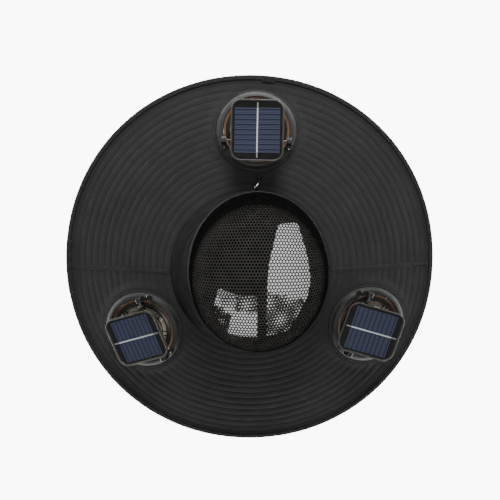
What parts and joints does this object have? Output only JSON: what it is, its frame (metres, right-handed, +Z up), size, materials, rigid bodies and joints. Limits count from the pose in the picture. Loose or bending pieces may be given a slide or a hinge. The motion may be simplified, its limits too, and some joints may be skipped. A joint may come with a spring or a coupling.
{
  "type": "fan sun hat",
  "caption": "Wide-brim sun hat with a net crown over a vented lining and solar fan units set in the brim, each under a tilting panel.",
  "frame": {"origin": "on the surface the rim rests on, at the centre of the brim", "axes": "+Z up through the crown, +Y towards the front, where the single middle fan is, +X towards the wearer's right as seen from above with the front up"},
  "size_m": [0.44, 0.44, 0.1345],
  "materials": {
    "brim_cloth": "matt quilted cotton, near black",
    "tape_cloth": "matt black woven tape",
    "net": "dark grey polyester net",
    "lining_cloth": "matt black cloth",
    "fan_plastic": "satin black moulding",
    "fan_bronze": "glossy tan and bronze",
    "motor_metal": "plain can",
    "panel_plastic": "gloss black tray",
    "solar_blue": "blue cell under clear resin",
    "silver": "bright silver"
  },
  "bodies": {
    "hat": {"brim": "brim_cloth", "side_seam_left": "brim_cloth", "side_seam_right": "brim_cloth", "crown_band": "brim_cloth", "brim_tape": "tape_cloth", "tape_lap_front": "tape_cloth", "tape_lap_left": "tape_cloth", "hook_loop": "tape_cloth", "crown_net": "net", "crown_lining": "lining_cloth", "sweatband": "lining_cloth", "hook_wire": "silver", "flange_front": "fan_plastic", "clamp_ring_front": "fan_plastic", "duct_front": "fan_bronze", "motor_front": "motor_metal", "guard_front": "fan_plastic", "bracket_front_a": "fan_plastic", "bracket_front_b": "fan_plastic", "flange_left": "fan_plastic", "clamp_ring_left": "fan_plastic", "duct_left": "fan_bronze", "motor_left": "motor_metal", "guard_left": "fan_plastic", "bracket_left_a": "fan_plastic", "bracket_left_b": "fan_plastic", "flange_right": "fan_plastic", "clamp_ring_right": "fan_plastic", "duct_right": "fan_bronze", "motor_right": "motor_metal", "guard_right": "fan_plastic", "bracket_right_a": "fan_plastic", "bracket_right_b": "fan_plastic"},
    "rotor_front": {"rotor_front": "fan_bronze"},
    "panel_front": {"panel_front": "panel_plastic", "solar_cell_front": "solar_blue", "busbar_front": "silver"},
    "rotor_left": {"rotor_left": "fan_bronze"},
    "panel_left": {"panel_left": "panel_plastic", "solar_cell_left": "solar_blue", "busbar_left": "silver"},
    "rotor_right": {"rotor_right": "fan_bronze"},
    "panel_right": {"panel_right": "panel_plastic", "solar_cell_right": "solar_blue", "busbar_right": "silver"}
  },
  "joints": [
    {"name": "fan_spin_front", "type": "hinge", "parent": "hat", "child": "rotor_front", "pos_m": [0.00723, 0.1555, 0.0198], "axis": [0.0091, 0.2487, 0.9685], "continuous": true},
    {"name": "panel_tilt_front", "type": "hinge", "parent": "hat", "child": "panel_front", "pos_m": [0.00704, 0.14446, 0.0371], "axis": [0.9997, -0.0227, -0.0036], "range_deg": [-18, 34]},
    {"name": "fan_spin_left", "type": "hinge", "parent": "hat", "child": "rotor_left", "pos_m": [-0.12639, -0.07738, 0.02303], "axis": [-0.2243, -0.1341, 0.9653], "continuous": true},
    {"name": "panel_tilt_left", "type": "hinge", "parent": "hat", "child": "panel_left", "pos_m": [-0.11598, -0.0741, 0.0404], "axis": [-0.3661, 0.9295, 0.0441], "range_deg": [-2.5, 49.5]},
    {"name": "fan_spin_right", "type": "hinge", "parent": "hat", "child": "rotor_right", "pos_m": [0.1388, -0.07211, 0.02075], "axis": [0.2344, -0.1154, 0.9653], "continuous": true},
    {"name": "panel_tilt_right", "type": "hinge", "parent": "hat", "child": "panel_right", "pos_m": [0.12824, -0.06944, 0.03814], "axis": [-0.3055, -0.9514, -0.0395], "range_deg": [-20, 32]}
  ]
}
